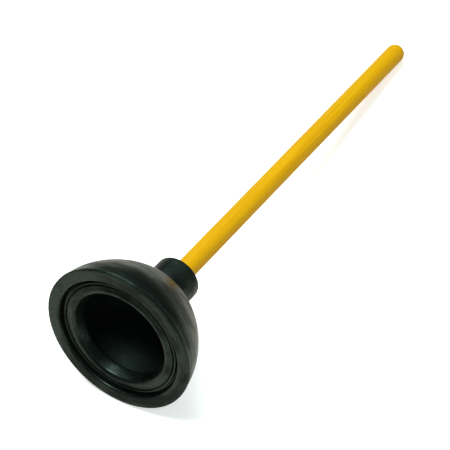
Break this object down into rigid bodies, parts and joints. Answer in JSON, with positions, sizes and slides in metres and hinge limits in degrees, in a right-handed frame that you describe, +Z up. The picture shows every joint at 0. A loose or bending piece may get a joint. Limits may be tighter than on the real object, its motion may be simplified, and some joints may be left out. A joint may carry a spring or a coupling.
{
  "type": "sink plunger",
  "caption": "Force-cup sink plunger: a dark rubber bell with a flat lip, stepped inner lip and moulded neck, on a straight yellow screw-in handle with a domed top.",
  "frame": {"origin": "centre of the cup's lip face, on the floor or basin that the upright plunger stands on", "axes": "+Z up the handle along the common axis of cup and handle; X and Y lie across it, and any turn about Z gives the same part"},
  "size_m": [0.143, 0.143, 0.515],
  "materials": {
    "rubber": "moulded, semi-gloss",
    "handle_lacquer": "glossy yellow lacquer"
  },
  "bodies": {
    "cup": {"lip": "rubber", "inner_lip": "rubber", "bell": "rubber"},
    "neck": {"neck": "rubber"},
    "handle": {"handle": "handle_lacquer"}
  },
  "joints": [
    {"name": "pump_stroke", "type": "slide", "parent": "cup", "child": "neck", "axis": [0, 0, -1], "range_m": [0, 0.035], "stiffness_N_per_m": 2500, "springref_m": -0.002, "deforming": ["bell"]},
    {"name": "handle_unscrew", "type": "slide", "parent": "neck", "child": "handle", "axis": [0, 0, 1], "range_m": [0, 0.045]}
  ]
}
